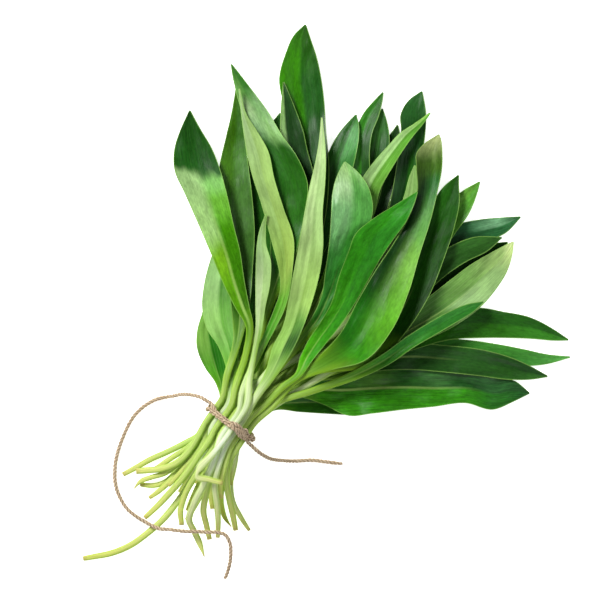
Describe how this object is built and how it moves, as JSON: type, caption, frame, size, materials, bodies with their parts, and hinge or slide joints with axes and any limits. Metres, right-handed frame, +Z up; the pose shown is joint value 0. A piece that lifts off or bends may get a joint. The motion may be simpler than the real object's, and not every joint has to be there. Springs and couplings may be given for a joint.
{
  "type": "tied bunch of wild garlic leaves",
  "caption": "Bunch of fresh wild garlic leaves lying down, stalks tied with jute twine that has a knot and two free tails.",
  "frame": {"origin": "on the surface the bunch lies on, under the middle of the bounding box of the leaves and the tie", "axes": "+Z up from the surface, +Y along the table towards the tip of the tallest leaf, +X to its right seen from above"},
  "size_m": [0.2698, 0.3071, 0.0379],
  "materials": {
    "leaf_upper_face": "fresh leaf, upper face, soft gloss",
    "leaf_underside": "fresh leaf, pale matt underside",
    "jute_twine": "twisted natural jute, matt and slightly hairy"
  },
  "bodies": {
    "root": {"leaf_left_lowest": "leaf_underside", "leaf_under_left": "leaf_upper_face", "leaf_under_centre": "leaf_upper_face", "leaf_under_back": "leaf_upper_face", "leaf_under_right": "leaf_upper_face", "leaf_bottom_dark": "leaf_upper_face", "leaf_far_right_low": "leaf_upper_face", "leaf_right_bluish": "leaf_upper_face", "leaf_back_dark": "leaf_upper_face", "leaf_back_slim": "leaf_upper_face", "leaf_folded_back": "leaf_upper_face", "leaf_centre_back": "leaf_upper_face", "leaf_tallest": "leaf_upper_face", "leaf_upper_narrow": "leaf_upper_face", "leaf_light_right": "leaf_upper_face", "leaf_big_bottom": "leaf_upper_face", "leaf_right_midribbed": "leaf_upper_face", "leaf_right_sliver": "leaf_upper_face", "leaf_far_right": "leaf_upper_face", "leaf_upper_dark": "leaf_upper_face", "leaf_pale_tip": "leaf_underside", "leaf_right_narrow": "leaf_upper_face", "leaf_big_pale_right": "leaf_underside", "leaf_dark_channelled": "leaf_upper_face", "leaf_left_pale": "leaf_underside", "leaf_left_tall": "leaf_upper_face", "leaf_upper_left": "leaf_upper_face", "leaf_pale_ribbon_upper": "leaf_underside", "leaf_bright_strip": "leaf_upper_face", "leaf_big_curved": "leaf_upper_face", "leaf_glossy_centre": "leaf_upper_face", "leaf_big_bright": "leaf_upper_face", "leaf_left_outer": "leaf_upper_face", "leaf_pale_ribbon_long": "leaf_underside", "leaf_pale_ribbon_left": "leaf_underside", "leaf_narrow_on_top": "leaf_underside", "twine_tie": "jute_twine", "twine_tail_long": "jute_twine", "twine_tail_short": "jute_twine"}
  },
  "joints": []
}
